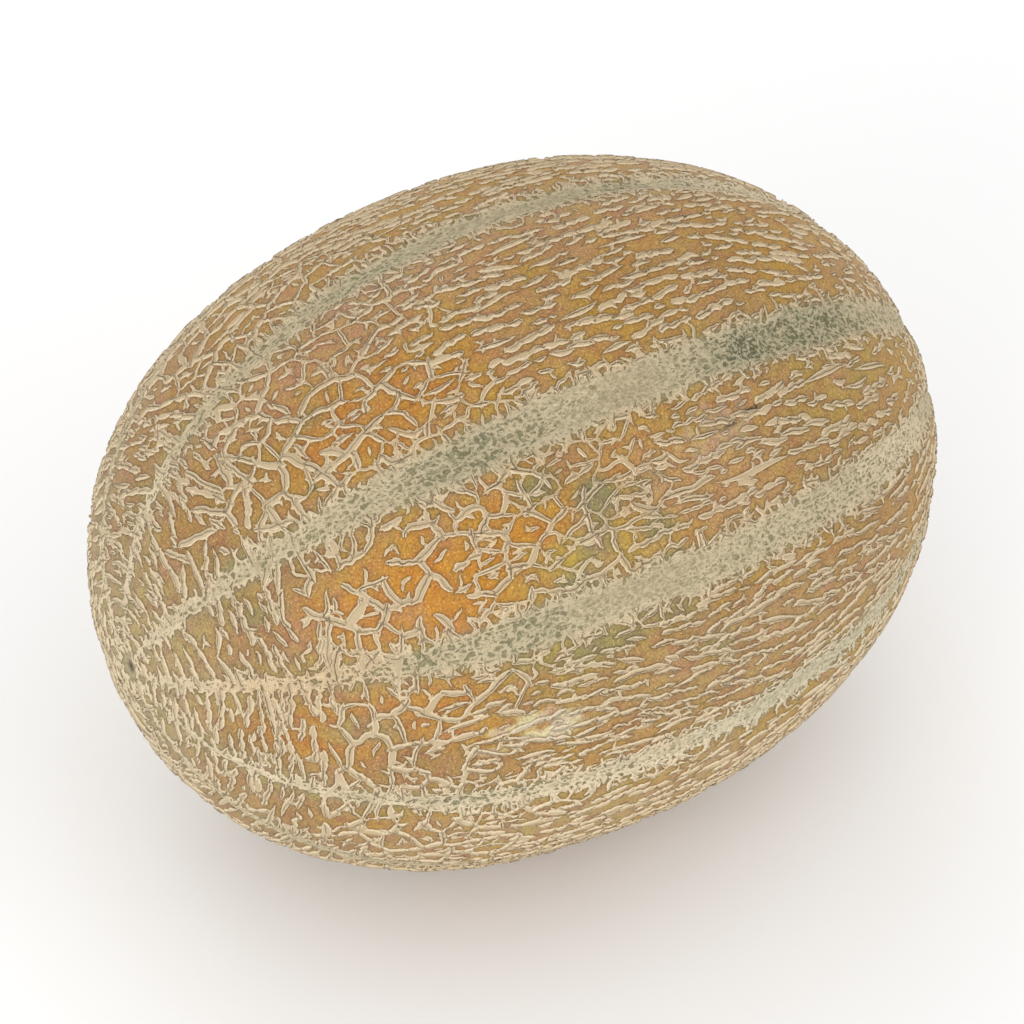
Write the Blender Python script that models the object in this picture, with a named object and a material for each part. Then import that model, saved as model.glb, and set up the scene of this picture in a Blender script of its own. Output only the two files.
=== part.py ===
"""A netted cantaloupe melon, lying on its side, as one solid.

Metres, +Z up. The long axis runs along X, with the blossom end at -X and the stem end at +X.
The origin is the middle of the flat ground spot that the fruit rests on.
Angles round the axis count from the top (+Z) towards the front (-Y).
"""

import math

import bmesh
import bpy
from mathutils import Vector

# Size of the fruit, over its netting.
HALF_LENGTH = 0.0872
RADIUS = 0.0660
GROUND_SPOT_DEPTH = 0.0012

# Fullness of each half, as a superellipse exponent: 2 is an ellipse, and more is blunter.
BLOSSOM_FULLNESS = 2.21
STEM_FULLNESS = 2.06

# The sutures: shallow grooves from pole to pole, one between each pair of ribs.
SUTURE_ANGLES = (-13.0, 30.3, 62.8, 97.5, 130.0, 162.0, 198.0, 235.0, 272.5, 310.0)
SUTURE_DEPTH = 0.0007
SUTURE_HALF_WIDTH = 0.0034

# The scars at the poles: the small blossom scar, and the dished disc that the stem came away from.
BLOSSOM_SCAR_RADIUS = 0.0030
BLOSSOM_SCAR_DEPTH = 0.0006
STEM_SCAR_RADIUS = 0.0065
STEM_SCAR_DEPTH = 0.0014

# Fineness of the solid.
STATIONS = 30
COLUMNS_PER_RIB = 8
POLE_CLUSTERING = 0.6
SHARP_EDGE_ANGLE = math.radians(40)

RIND_COLOUR = (0.50, 0.35, 0.16, 1.0)
RIND_ROUGHNESS = 0.62

AXIS_HEIGHT = RADIUS - GROUND_SPOT_DEPTH


def clear_scene():
    for obj in list(bpy.data.objects):
        bpy.data.objects.remove(obj)


def smoothstep(share):
    return share * share * (3.0 - 2.0 * share)


def profile_point(polar):
    """(place along the axis, radius) at a polar angle of 0 at the blossom end and pi at the stem end."""
    towards_stem = -math.cos(polar)
    fullness = STEM_FULLNESS if towards_stem > 0 else BLOSSOM_FULLNESS
    x = math.copysign(HALF_LENGTH * abs(towards_stem) ** (2 / fullness), towards_stem)
    radius = RADIUS * math.sin(polar) ** (2 / fullness)
    return x, radius


def scar_dish(radius, scar_radius, depth):
    """How far a pole's scar sinks the surface at this distance from the axis: a dish with a soft rim."""
    return depth * math.exp(-((radius / scar_radius) ** 4))


def suture_gaps():
    """(start angle, angle to the next suture) of each rib, in radians."""
    for start, end in zip(SUTURE_ANGLES, SUTURE_ANGLES[1:] + (SUTURE_ANGLES[0] + 360,)):
        yield math.radians(start), math.radians(end - start)


def column_angles():
    """Angles of the solid's columns, closer together beside each suture."""
    return [
        start + gap * smoothstep(step / COLUMNS_PER_RIB)
        for start, gap in suture_gaps()
        for step in range(COLUMNS_PER_RIB)
    ]


def suture_groove(angle, radius):
    """Depth of the nearest suture's groove, which fades out towards the poles."""
    nearest = min(
        abs(math.remainder(angle - math.radians(suture), math.tau))
        for suture in SUTURE_ANGLES
    )
    across = nearest * radius / SUTURE_HALF_WIDTH
    return SUTURE_DEPTH * (radius / RADIUS) * math.exp(-(across**2))


def surface_point(x, radius, angle):
    reach = radius - suture_groove(angle, radius)
    return Vector((x, -reach * math.sin(angle), AXIS_HEIGHT + reach * math.cos(angle)))


def station_rings():
    """(x, radius) of each ring of the solid between the poles, closer together at the ends."""
    for station in range(1, STATIONS):
        share = station / STATIONS
        share += POLE_CLUSTERING * (smoothstep(share) - share)
        x, radius = profile_point(math.pi * share)
        if x < 0:
            x += scar_dish(radius, BLOSSOM_SCAR_RADIUS, BLOSSOM_SCAR_DEPTH)
        else:
            x -= scar_dish(radius, STEM_SCAR_RADIUS, STEM_SCAR_DEPTH)
        yield x, radius


def melon_body(mesh):
    """The whole fruit as rings of quads, closed by a fan at each pole."""
    angles = column_angles()
    rings = [
        [mesh.verts.new(surface_point(x, radius, angle)) for angle in angles]
        for x, radius in station_rings()
    ]
    count = len(angles)
    for ring, following in zip(rings, rings[1:]):
        for i in range(count):
            j = (i + 1) % count
            mesh.faces.new((ring[i], following[i], following[j], ring[j]))
    ends = (
        (rings[0], -HALF_LENGTH + BLOSSOM_SCAR_DEPTH),
        (rings[-1], HALF_LENGTH - STEM_SCAR_DEPTH),
    )
    for ring, x in ends:
        pole = mesh.verts.new((x, 0.0, AXIS_HEIGHT))
        for i in range(count):
            mesh.faces.new((pole, ring[i], ring[(i + 1) % count]))
    bmesh.ops.recalc_face_normals(mesh, faces=mesh.faces)


def cut_ground_spot(mesh):
    """Slices the underside flat at z = 0, where the fruit lay on the ground as it grew."""
    everything = list(mesh.verts) + list(mesh.edges) + list(mesh.faces)
    cut = bmesh.ops.bisect_plane(
        mesh,
        geom=everything,
        plane_co=(0.0, 0.0, 0.0),
        plane_no=(0.0, 0.0, -1.0),
        clear_outer=True,
    )
    rim = [item for item in cut["geom_cut"] if isinstance(item, bmesh.types.BMEdge)]
    bmesh.ops.contextual_create(mesh, geom=rim)
    bmesh.ops.recalc_face_normals(mesh, faces=mesh.faces)


def rind_material():
    material = bpy.data.materials.new("netted_rind")
    material.use_nodes = True
    shader = material.node_tree.nodes["Principled BSDF"]
    shader.inputs["Base Color"].default_value = RIND_COLOUR
    shader.inputs["Roughness"].default_value = RIND_ROUGHNESS
    shader.inputs["Metallic"].default_value = 0.0
    return material


def main():
    clear_scene()
    mesh = bmesh.new()
    melon_body(mesh)
    cut_ground_spot(mesh)
    data = bpy.data.meshes.new("melon")
    mesh.to_mesh(data)
    mesh.free()
    data.shade_smooth()
    data.set_sharp_from_angle(angle=SHARP_EDGE_ANGLE)
    data.materials.append(rind_material())
    bpy.context.scene.collection.objects.link(bpy.data.objects.new("melon", data))


main()
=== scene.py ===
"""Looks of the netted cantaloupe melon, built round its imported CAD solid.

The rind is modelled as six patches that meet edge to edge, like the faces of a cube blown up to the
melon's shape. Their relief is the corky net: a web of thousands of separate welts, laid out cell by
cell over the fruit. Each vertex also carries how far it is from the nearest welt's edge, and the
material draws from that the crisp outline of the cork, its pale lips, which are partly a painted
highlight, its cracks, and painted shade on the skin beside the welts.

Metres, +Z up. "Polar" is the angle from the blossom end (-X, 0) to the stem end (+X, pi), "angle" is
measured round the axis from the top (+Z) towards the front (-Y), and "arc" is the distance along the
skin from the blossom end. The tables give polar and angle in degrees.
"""

import functools
import itertools
import math

import bpy
import numpy as np
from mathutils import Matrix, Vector
from mathutils.geometry import delaunay_2d_cdt


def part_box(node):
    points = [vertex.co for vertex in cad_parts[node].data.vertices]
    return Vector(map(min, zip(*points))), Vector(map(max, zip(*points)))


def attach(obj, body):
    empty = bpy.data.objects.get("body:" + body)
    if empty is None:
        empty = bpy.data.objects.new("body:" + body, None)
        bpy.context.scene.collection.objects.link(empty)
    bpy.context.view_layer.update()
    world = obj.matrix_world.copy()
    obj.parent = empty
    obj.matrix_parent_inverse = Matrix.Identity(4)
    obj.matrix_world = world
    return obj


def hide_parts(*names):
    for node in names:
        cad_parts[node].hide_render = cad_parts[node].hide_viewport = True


MM = 0.001
SEED = 7

# ------------------------------------------------------------------ the body, as in the CAD solid
GROUND_SPOT_DEPTH = 1.2 * MM
BLOSSOM_FULLNESS, STEM_FULLNESS = 2.21, 2.06
SUTURE_ANGLES = np.radians([-13.0, 30.3, 62.8, 97.5, 130.0, 162.0, 198.0, 235.0, 272.5, 310.0])
BLOSSOM_SCAR_RADIUS, BLOSSOM_SCAR_DEPTH = 3.0 * MM, 0.6 * MM
STEM_SCAR_RADIUS, STEM_SCAR_DEPTH = 6.5 * MM, 1.4 * MM

# How the skin lies below the CAD surface, which is measured over the netting.
SKIN_INSET = 0.40 * MM
GROOVE_DEPTH, GROOVE_HALF_WIDTH = 0.9 * MM, 3.6 * MM

# Fineness of the patches: cells along the fruit, and cells across a quarter of its girth.
CELLS_ALONG, CELLS_AROUND = 318, 270

# ------------------------------------------------------------------ the net
# By polar angle: the length of the net's cells along the fruit and their width round it, in
# millimetres, and the net's grain. Grain -1 is loose welts that run round the fruit, 0 a closed
# net, and 1 loose welts that run along the fruit.
NET_BY_POLAR = (
    (0, 2.2, 2.4, -0.4),
    (10, 2.1, 4.6, -0.9),
    (25, 2.3, 6.8, -1.0),
    (36, 2.9, 7.0, -0.9),
    (44, 4.8, 7.4, -0.5),
    (51, 5.7, 6.2, -0.25),
    (60, 6.2, 5.3, 0.1),
    (70, 6.0, 4.6, 0.3),
    (80, 6.2, 3.7, 0.7),
    (95, 7.0, 3.0, 1.0),
    (130, 6.2, 2.8, 1.0),
    (146, 4.4, 2.7, 0.7),
    (160, 3.0, 2.6, 0.3),
    (180, 2.4, 2.4, 0.0),
)
# Beside a suture the cells shrink, and grow shorter along the fruit.
SUTURE_TURN, SUTURE_SHRINK, SUTURE_REACH = 0.50, 0.75, math.radians(4.5)
# Patches of finer, closed net: (polar, angle, half size along, half size round).
FINE_PATCHES = (
    (83, 46, 13, 13),
    (72, 22, 8, 6),
    (62, 0, 10, 9),
    (88, 150, 18, 14),
    (92, 255, 20, 14),
)
# Low on the front the welts are long and run along the fruit: angle and half width of that strip.
STRIP_ANGLE, STRIP_HALF_WIDTH = math.radians(84), math.radians(16)
# No cell's centre is nearer to the axis than this.
CLOSEST_TO_POLE = 2.6 * MM
# A step round the fruit is turned into an angle as if the axis were at least this far away.
LEAST_GIRTH = 4.0 * MM
# How many places loose welts are tried at.
LOOSE_WELT_TRIES = 24000
# Each welt is kinked at this many places.
KNOTS = 4
# The sponge of the corky bands: spacing of its cells along a suture and across it, and how far it
# reaches to either side.
SPONGE_CELL, SPONGE_REACH = np.array([1.55, 0.85]) * MM, 6.0 * MM
# Spongy cork starts and ends this far from the two ends of the fruit.
SPONGE_FROM_BLOSSOM, SPONGE_FROM_STEM = 3.0 * MM, 7.0 * MM

# The corky bands over the sutures: half width of each in mid fruit.
BAND_HALF_WIDTHS = np.array([2.6, 4.0, 3.9, 2.4, 3.2, 3.0, 2.8, 3.4, 3.0, 3.2]) * MM
# Along a suture, (suture, polar, half length, strength): stretches of bare dark green, of smooth
# pale cork, and where it is hardly corked over.
DARK_STRETCHES = (
    (1, 111, 7, 0.9),
    (1, 123, 12, 0.8),
    (1, 72, 9, 0.45),
    (0, 76, 9, 0.35),
    (0, 118, 16, 0.35),
    (3, 62, 10, 0.45),
    (2, 54, 9, 0.35),
    (2, 72, 6, 0.4),
    (5, 95, 20, 0.8),
    (7, 70, 16, 0.7),
    (9, 110, 18, 0.8),
)
SMOOTH_STRETCHES = (
    (1, 93, 8, 0.9),
    (2, 86, 11, 0.85),
    (3, 106, 24, 0.8),
    (0, 95, 16, 0.9),
    (4, 88, 12, 0.8),
    (6, 75, 14, 0.8),
    (8, 100, 12, 0.8),
)
THIN_STRETCHES = ((2, 32, 20, 0.65),)

# Single stout ridges that stand out: half width in millimetres, then (polar, angle) along each.
RIDGES = (
    (0.80, ((52.5, 21.0), (57.5, 20.2), (61.5, 18.2), (65.5, 16.8))),
    (0.50, ((65.5, 16.8), (67.6, 18.6), (68.2, 22.0))),
    (0.62, ((47.6, -1.2), (43.6, 1.0), (42.8, 4.6), (43.4, 9.0), (44.4, 13.0))),
    (0.72, ((33.6, 6.2), (36.0, 10.4), (38.2, 14.2), (38.6, 18.6))),
    (0.66, ((43.2, 11.0), (40.4, 12.4), (38.2, 14.6))),
    (0.80, ((28.0, 10.2), (31.4, 12.8), (35.2, 16.2))),
    (0.62, ((36.8, -4.6), (37.8, 2.4), (39.6, 9.6))),
    (0.66, ((25.0, 6.8), (26.6, 12.4), (28.2, 17.0), (27.6, 28.0))),
    (0.70, ((55.6, 7.4), (58.4, 4.8), (62.6, 5.0), (65.4, 7.0))),
    (0.66, ((61.7, 0.4), (61.9, 4.8))),
    (0.75, ((40.8, 22.6), (43.2, 24.6), (46.6, 25.8))),
    (0.50, ((76.2, 37.4), (76.9, 43.2))),
    (0.50, ((83.4, 42.6), (82.6, 46.0), (82.4, 50.0), (83.2, 53.6))),
    (0.70, ((91.0, 49.2), (94.6, 49.8), (98.6, 49.6))),
    (0.66, ((80.6, 76.8), (84.4, 76.6), (87.6, 77.4))),
    (0.62, ((94.0, 75.4), (98.6, 74.8), (103.0, 74.4), (108.0, 74.6))),
)


def steps(value, low, high):
    """0 below low, 1 above high, and a smooth rise between."""
    share = np.clip((value - low) / (high - low), 0.0, 1.0)
    return share * share * (3.0 - 2.0 * share)


def bell(value, centre, half_width):
    return np.exp(-(((value - centre) / half_width) ** 2))


def turn_between(angle, other):
    """The signed angle from other to angle, the short way round."""
    return (angle - other + math.pi) % math.tau - math.pi


def noise(points, size, seed):
    """Smooth noise from -1 to 1, whose lumps are about this size."""
    place = points / size + 31.7 * seed
    cell = np.floor(place).astype(np.int64)
    share = place - cell
    share = share**3 * (share * (share * 6.0 - 15.0) + 10.0)
    total = np.zeros(len(points))
    for corner in np.ndindex(2, 2, 2):
        at = cell + corner
        mixed = (at[:, 0] * 73856093) ^ (at[:, 1] * 19349663) ^ (at[:, 2] * 83492791)
        mixed = ((mixed ^ (mixed >> 13)) * 1274126177) & 0xFFFFFFFF
        value = ((mixed ^ (mixed >> 16)) & 0xFFFF) / 32767.5 - 1.0
        total += value * np.where(corner, share, 1.0 - share).prod(axis=1)
    return total


class Body:
    """The melon's smooth shape, with tables that turn a distance along the skin into a place."""

    def __init__(self, low, high):
        self.radius = (high.z + GROUND_SPOT_DEPTH) / 2
        self.half_length = -low.x
        self.axis_height = self.radius - GROUND_SPOT_DEPTH
        self.polars = np.linspace(0.0, math.pi, 6001)
        x, radius = self.profile(self.polars)
        self.arcs = np.concatenate([[0.0], np.cumsum(np.hypot(np.diff(x), np.diff(radius)))])
        self.length = self.arcs[-1]

    def profile(self, polar):
        """(place along the axis, distance from it) of the outline, before any groove or scar."""
        towards_stem = -np.cos(polar)
        power = 2.0 / np.where(towards_stem > 0, STEM_FULLNESS, BLOSSOM_FULLNESS)
        x = self.half_length * np.sign(towards_stem) * np.abs(towards_stem) ** power
        return x, self.radius * np.maximum(np.sin(polar), 0.0) ** power

    def polar_at(self, arc):
        return np.interp(arc, self.arcs, self.polars)

    def arc_at(self, polar):
        return np.interp(polar, self.polars, self.arcs)

    def girth_at(self, arc):
        """Distance from the axis."""
        return self.profile(self.polar_at(arc))[1]

    def outward(self, polar, angle):
        """Unit normals of the smooth shape."""
        x, radius = self.profile(polar)
        power = np.where(x > 0, STEM_FULLNESS, BLOSSOM_FULLNESS)
        along = np.sign(x) * np.abs(x / self.half_length) ** (power - 1.0) / self.half_length
        away = (radius / self.radius) ** (power - 1.0) / self.radius
        size = np.hypot(along, away)
        along, away = along / size, away / size
        return np.stack([along, -away * np.sin(angle), away * np.cos(angle)], axis=-1)

    def place(self, polar, angle):
        x, radius = self.profile(polar)
        across, up = -radius * np.sin(angle), radius * np.cos(angle)
        return np.stack([x, across, self.axis_height + up], axis=-1)

    def chord(self, start, stop):
        """The way from start to stop in metres, along the fruit and round it."""
        girth = self.girth_at((start[:, 0] + stop[:, 0]) / 2)
        return np.stack([stop[:, 0] - start[:, 0], (stop[:, 1] - start[:, 1]) * girth], 1)

    def step(self, places, heading, distance):
        """Places this far away, by heading: 0 is towards the stem end, a quarter turn is round the fruit."""
        girth = np.maximum(self.girth_at(places[:, 0]), LEAST_GIRTH)
        return places + np.stack([distance * np.cos(heading), distance * np.sin(heading) / girth], 1)

    def ends(self, centre, heading, reach):
        """Both ends of straight lines that reach this far to either side of their centres."""
        return [self.step(centre, heading, side * reach) for side in (-1, 1)]

    def wandered(self, places):
        """The places moved a little in slow waves, so that rows of cells drift out of line."""
        at = self.place(self.polar_at(places[:, 0]), places[:, 1])
        girth = np.maximum(self.girth_at(places[:, 0]), 6.0 * MM)
        along, across = (
            1.4 * MM * noise(at, 17 * MM, seed) + 0.4 * MM * noise(at, 5 * MM, seed + 1)
            for seed in (3, 5)
        )
        return places + np.stack([along, across / girth], 1)


class Spots:
    """Places on the skin, and what the melon is like there."""

    def __init__(self, body, arc, angle):
        self.body, self.arc, self.angle = body, arc, angle
        self.polar = body.polar_at(arc)
        self.degrees = np.degrees(self.polar)
        self.girth = body.profile(self.polar)[1]
        self.place = body.place(self.polar, angle)
        # The nearest suture, and the signed angle to it.
        turns = turn_between(angle[..., None], SUTURE_ANGLES)
        self.suture = np.abs(turns).argmin(axis=-1)
        self.turn = np.take_along_axis(turns, self.suture[..., None], axis=-1)[..., 0]

    def __getitem__(self, chosen):
        return Spots(self.body, self.arc[chosen], self.angle[chosen])

    def rows(self):
        return np.stack([self.arc, self.angle], 1)

    def from_table(self, column):
        table = np.array(NET_BY_POLAR)
        return np.interp(self.degrees, table[:, 0], table[:, column])

    def beside_suture(self, reach=1.0):
        return bell(self.turn, 0.0, reach * SUTURE_REACH)

    def near(self, polar, angle, half_along, half_round):
        """How far from a patch's middle, in half sizes along the fruit and round it."""
        away = np.degrees(turn_between(self.angle, math.radians(angle)))
        return (self.degrees - polar) / half_along, away / half_round

    def fineness(self):
        """1 in the middle of the patches of finer net, 0 away from them."""
        found = np.zeros(len(self.arc))
        for patch in FINE_PATCHES:
            along, across = self.near(*patch)
            found = np.maximum(found, np.exp(-(along**2)) * np.exp(-(across**2)))
        return found

    def cell_aspect(self):
        return self.from_table(1) / self.from_table(2)

    def cell_turn(self):
        """How much the sutures shorten the cells: 1 in mid rib, less beside a suture."""
        return 1.0 - (1.0 - SUTURE_TURN) * self.beside_suture()

    def cell_size(self):
        """(length along the fruit, width round it) of the net's cells."""
        width = self.from_table(2) * MM * (1.0 - (1.0 - SUTURE_SHRINK) * self.beside_suture())
        return width * self.cell_aspect() * self.cell_turn(), width

    def drawn_out(self):
        """1 in the strip low on the front, and 0 away from there."""
        turn = turn_between(self.angle, STRIP_ANGLE)
        return bell(turn, 0.0, STRIP_HALF_WIDTH) * steps(self.degrees, 50, 72)

    def grain(self):
        grain = self.from_table(3) + 0.25 * noise(self.place, 28 * MM, 1)
        grain = grain + 0.45 * self.drawn_out()
        beside = self.beside_suture(1.2) * steps(self.degrees, 45, 75)
        return np.clip(grain * (1.0 - 0.85 * beside) * (1.0 - 0.8 * self.fineness()), -1.0, 1.0)

    def stoutness(self):
        """1 where most welts are stout, towards 0 beside the sutures and where the net is finer."""
        beside = 0.8 * self.beside_suture(1.3) * steps(self.degrees, 25, 60)
        return (1.0 - beside) * (1.0 - 0.75 * self.fineness())

    def stretches(self, listed, suture=None):
        """How far each spot lies in the listed stretches of the nearest suture, or of this one."""
        found = np.zeros(len(self.arc))
        suture = self.suture if suture is None else suture
        for index, centre, half_length, strength in listed:
            near = (suture == index) * strength * bell(self.degrees, centre, half_length)
            found = np.maximum(found, near)
        return found

    def band_half_width(self):
        fading = steps(self.degrees, 2, 16) * (1.0 - steps(self.degrees, 164, 178))
        tapering = 0.32 + 0.68 * steps(self.degrees, 18, 84)
        tapering = tapering * (1.0 - 0.68 * steps(self.degrees, 122, 170))
        thin = 1.0 - 0.5 * self.stretches(THIN_STRETCHES)
        return BAND_HALF_WIDTHS[self.suture] * fading * tapering * thin

    def beyond_band(self, place=None):
        """How far outside the nearest suture's corky band, in metres: below 0 inside."""
        place = self.place if place is None else place
        across = self.turn * self.girth + 0.6 * MM * noise(place, 6 * MM, 22)
        return np.abs(across) - self.band_half_width() * (1.0 + 0.15 * noise(place, 14 * MM, 21))


# ------------------------------------------------------------------ laying out the net
def scatter_cells(body, rng, closest, reach, tries):
    """Centres of the net's cells: no two closer than this many local cell sizes. Reach is the side
    of the buckets that nearby centres are looked up in."""
    arc = rng.uniform(0.0, body.length, tries)
    angle = rng.uniform(-math.pi, math.pi, tries)
    girth = body.girth_at(arc)
    fits = (rng.uniform(0.0, body.radius, tries) < girth) & (girth > CLOSEST_TO_POLE)
    spots = Spots(body, arc[fits], angle[fits])
    rows = (spots.arc / reach).astype(int)
    widest = {row: spots.girth[rows == row].max() for row in set(rows.tolist())}
    columns = {row: max(1, int(math.tau * girth / reach)) for row, girth in widest.items()}
    buckets, kept = {}, []

    def beside(row, angle):
        """The bucket of this row that the angle falls in, and those on either side of it."""
        count = columns.get(row, 1)
        column = int((angle + math.pi) / math.tau * count)
        return [(row, near % count) for near in (column, column - 1, column + 1)]

    def clear(arc, angle, girth, length, width, keys):
        for other in itertools.chain(*(buckets.get(key, ()) for key in keys)):
            along = (arc - other[0]) / (length + other[2])
            turn = abs(angle - other[1])
            across = min(turn, math.tau - turn) * girth / (width + other[3])
            if 4.0 * (along * along + across * across) < closest * closest:
                return False
        return True

    table = np.stack([spots.arc, spots.angle, spots.girth, *spots.cell_size(), rows], 1)
    for i, (arc, angle, girth, length, width, row) in enumerate(table.tolist()):
        keys = {key for near_row in (row - 1, row, row + 1) for key in beside(near_row, angle)}
        if clear(arc, angle, girth, length, width, keys):
            buckets.setdefault(beside(row, angle)[0], []).append((arc, angle, length, width))
            kept.append(i)
    return spots[kept]


def integral(values, at):
    """The running integral of values, from 0."""
    return np.concatenate([[0.0], np.cumsum((values[1:] + values[:-1]) / 2 * np.diff(at))])


class Plane:
    """A flat map of the skin on which the net's stretched cells are round, so that Delaunay
    triangles can be drawn between their centres. It repeats every `period` upwards."""

    def __init__(self, body):
        self.arcs = np.linspace(0.2 * MM, body.length - 0.2 * MM, 4000)
        along = Spots(body, self.arcs, np.zeros(len(self.arcs)))
        self.u = integral(1.0 / (along.girth * along.cell_aspect()), self.arcs)
        self.angles = np.linspace(-math.pi, math.pi, 4001)
        self.v = integral(Spots(body, np.zeros(len(self.angles)), self.angles).cell_turn(), self.angles)
        self.period = self.v[-1]

    def flat(self, spots):
        u, v = np.interp(spots.arc, self.arcs, self.u), np.interp(spots.angle, self.angles, self.v)
        return np.stack([u, v], 1)

    def round(self, flat):
        turns = np.floor(flat[:, 1] / self.period)
        angle = np.interp(flat[:, 1] - turns * self.period, self.v, self.angles)
        return np.stack([np.interp(flat[:, 0], self.u, self.arcs), angle + turns * math.tau], 1)


def voronoi(points):
    """The two ends of every border between the cells of a flat set of points, and its two cells."""
    triangles = delaunay_2d_cdt([Vector(point) for point in points], [], [], 0, 1e-9, False)
    places, faces = np.array([tuple(v) for v in triangles[0]]), np.array(triangles[2])
    corners = places[faces]
    a, b, c = corners[:, 0], corners[:, 1] - corners[:, 0], corners[:, 2] - corners[:, 0]
    twice = 2.0 * (b[:, 0] * c[:, 1] - b[:, 1] * c[:, 0])
    bb, cc = (b**2).sum(1), (c**2).sum(1)
    centre = a + np.stack([c[:, 1] * bb - b[:, 1] * cc, b[:, 0] * cc - c[:, 0] * bb], 1) / twice[:, None]
    sides = np.sort(np.concatenate([faces[:, [0, 1]], faces[:, [1, 2]], faces[:, [2, 0]]]), axis=1)
    owner = np.tile(np.arange(len(faces)), 3)
    order = np.lexsort((sides[:, 1], sides[:, 0]))
    sides, owner = sides[order], owner[order]
    shared = (sides[1:] == sides[:-1]).all(axis=1)
    return centre[owner[:-1][shared]], centre[owner[1:][shared]], sides[1:][shared]


def cell_borders(plane, cells, clumps):
    """The borders between neighbouring cells: their two ends as (arc, angle), the number of the
    junction at either end, and whether the border also parts two clumps of cells. Angles may run
    past pi, so that both ends stay on one side of it."""
    centres = plane.flat(cells)
    margin, around = 0.3 * plane.period, (0.0, plane.period)
    apart = centres[:, None] - plane.flat(clumps)
    apart[..., 1] -= plane.period * np.round(apart[..., 1] / plane.period)
    clump = (apart**2).sum(-1).argmin(axis=1)
    low, high = centres[:, 1] > plane.period - margin, centres[:, 1] < margin
    centres = np.concatenate([centres, centres[low] - around, centres[high] + around])
    clump = np.concatenate([clump, clump[low], clump[high]])
    first, second, parted = voronoi(centres)
    middle = (first + second) / 2
    inside = (middle[:, 1] >= 0) & (middle[:, 1] < plane.period)
    for end in (first, second):
        inside &= (end[:, 0] > plane.u[0]) & (end[:, 0] < plane.u[-1])
        inside &= (end[:, 1] > -margin) & (end[:, 1] < plane.period + margin)
    first, second, clump = first[inside], second[inside], clump[parted[inside]]
    ends = np.concatenate([first, second])
    keys = np.round(np.stack([ends[:, 0], np.mod(ends[:, 1] + 1e-7, plane.period)], 1), 6)
    junction = np.unique(keys, axis=0, return_inverse=True)[1].reshape(2, -1)
    return plane.round(first), plane.round(second), junction, clump[:, 0] != clump[:, 1]


def straightened(starts, stops, junction, strong):
    """The ends moved so that strong borders run on smoothly where just two of them meet."""
    for _ in range(2):
        pull = np.zeros((junction.max() + 1, 2))
        meeting = np.bincount(junction[:, strong].ravel(), minlength=len(pull))
        np.add.at(pull, junction[0, strong], (stops - starts)[strong])
        np.add.at(pull, junction[1, strong], (starts - stops)[strong])
        shift = np.where((meeting == 2)[:, None], 0.20 * pull, 0.0)
        starts, stops = starts + shift[junction[0]], stops + shift[junction[1]]
    return starts, stops


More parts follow.
